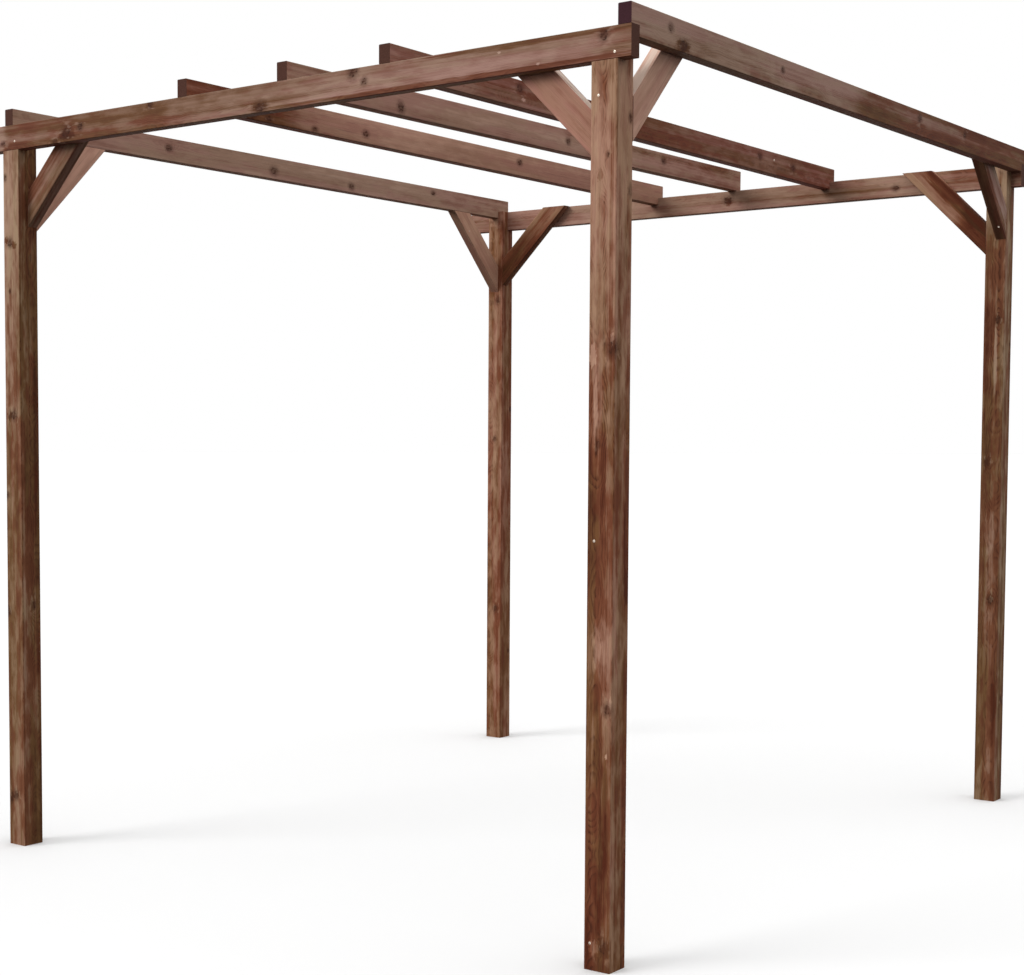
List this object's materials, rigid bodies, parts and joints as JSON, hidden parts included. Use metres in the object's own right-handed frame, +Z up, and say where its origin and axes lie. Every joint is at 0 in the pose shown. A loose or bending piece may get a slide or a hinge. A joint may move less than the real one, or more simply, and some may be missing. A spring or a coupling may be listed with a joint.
{
  "type": "wooden pergola",
  "caption": "Free-standing timber pergola: square posts, flush front and back beams, notched rafters over the top and diagonal knee braces at every corner.",
  "frame": {"origin": "on the ground at the middle of the whole footprint, overhangs included", "axes": "+X along the beams towards the end without an overhang, +Y from the front beam to the back beam, +Z up"},
  "size_m": [2.935, 3.31, 2.875],
  "materials": {
    "post_timber": "reddish brown stained softwood, sawn and planed, weathered",
    "beam_timber": "reddish brown stained softwood, planed, weathered",
    "rafter_timber": "brown stained softwood, planed, weathered",
    "brace_timber": "brown stained softwood, planed, paler cut ends"
  },
  "bodies": {
    "root": {"front_left_post": "post_timber", "front_right_post": "post_timber", "back_left_post": "post_timber", "back_right_post": "post_timber", "front_beam": "beam_timber", "back_beam": "beam_timber", "left_end_rafter": "rafter_timber", "second_rafter": "rafter_timber", "third_rafter": "rafter_timber", "fourth_rafter": "rafter_timber", "right_end_rafter": "rafter_timber", "front_left_beam_brace": "brace_timber", "front_left_rafter_brace": "brace_timber", "front_right_beam_brace": "brace_timber", "front_right_rafter_brace": "brace_timber", "back_left_beam_brace": "brace_timber", "back_left_rafter_brace": "brace_timber", "back_right_beam_brace": "brace_timber", "back_right_rafter_brace": "brace_timber"}
  },
  "joints": []
}
